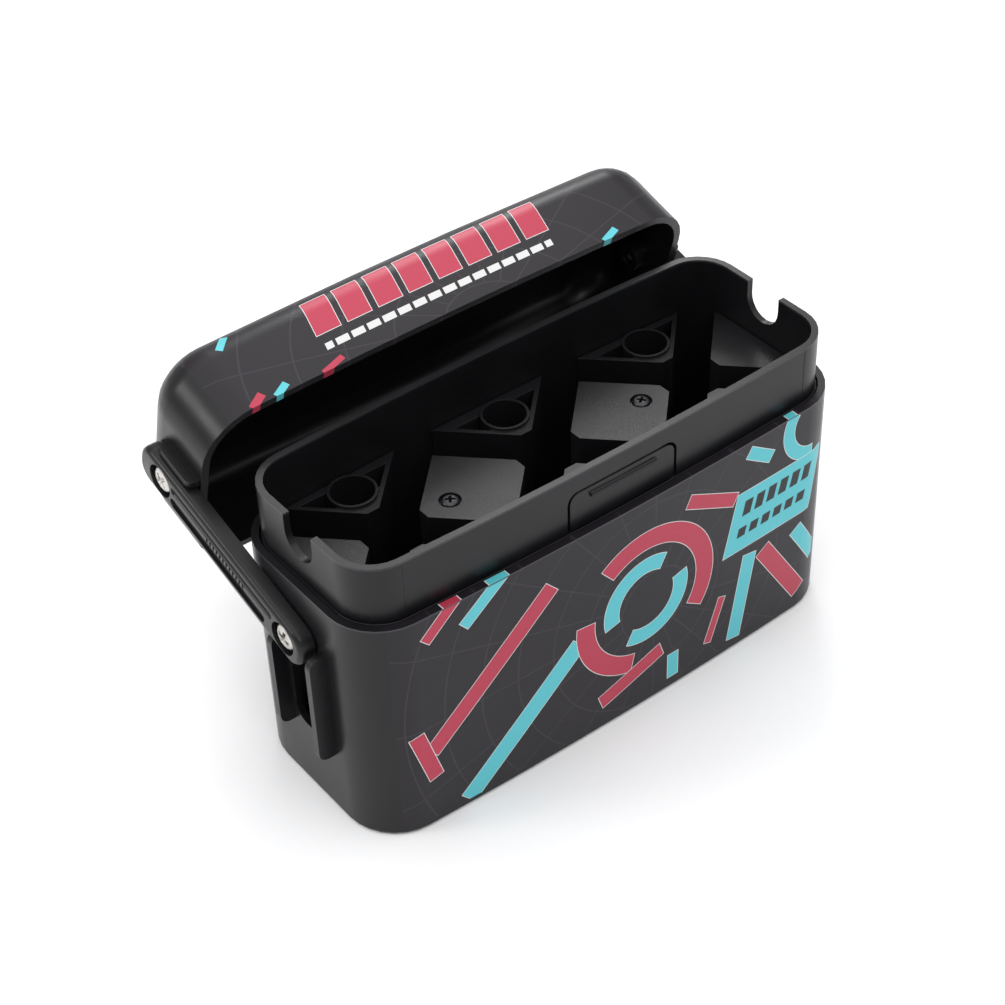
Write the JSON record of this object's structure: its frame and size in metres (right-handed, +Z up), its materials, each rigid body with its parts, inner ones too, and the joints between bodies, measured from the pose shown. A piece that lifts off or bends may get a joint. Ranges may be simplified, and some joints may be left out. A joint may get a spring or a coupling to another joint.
{
  "type": "darts case",
  "caption": "Small hard darts case: deep rounded body, raised collar round flight and barrel wells, and a lid on side arms that lifts and swings back.",
  "frame": {"origin": "middle of the body's flat underside", "axes": "+X along the case's long side, to the right seen from the printed front; +Y to the back, where the lid swings; +Z up"},
  "size_m": [0.119, 0.0762, 0.0746],
  "materials": {
    "shell_plastic": "fine satin black ABS, with a printed front panel",
    "liner_plastic": "satin black ABS",
    "block_plastic": "fine spark-eroded black ABS",
    "lid_plastic": "fine satin black ABS, with a printed front",
    "arm_plastic": "semi-gloss black nylon",
    "slide_plastic": "plain black acetal",
    "bright_screw": "nickel-plated steel",
    "dark_screw": "black zinc-plated steel"
  },
  "bodies": {
    "case": {"block_screw_left": "dark_screw", "block_screw_right": "dark_screw", "flight_block": "block_plastic", "inner_liner": "liner_plastic", "outer_shell": "shell_plastic", "slide_left": "slide_plastic", "slide_right": "slide_plastic", "slide_screw_left": "bright_screw", "slide_screw_right": "bright_screw"},
    "lid": {"arm_left": "arm_plastic", "arm_right": "arm_plastic", "lid_screw_left": "bright_screw", "lid_screw_right": "bright_screw", "lid_shell": "lid_plastic"},
    "catch": {"catch_tongue": "liner_plastic"}
  },
  "joints": [
    {"name": "lid_swing", "type": "hinge", "parent": "case", "child": "lid", "pos_m": [0, 0, 0.0403], "axis": [1, 0, 0], "range_deg": [0, 73.3]},
    {"name": "catch_flex", "type": "hinge", "parent": "case", "child": "catch", "pos_m": [0, -0.01915, 0.0509], "axis": [-1, 0, 0], "range_deg": [0, 5], "stiffness_Nm_per_rad": 0.2}
  ]
}
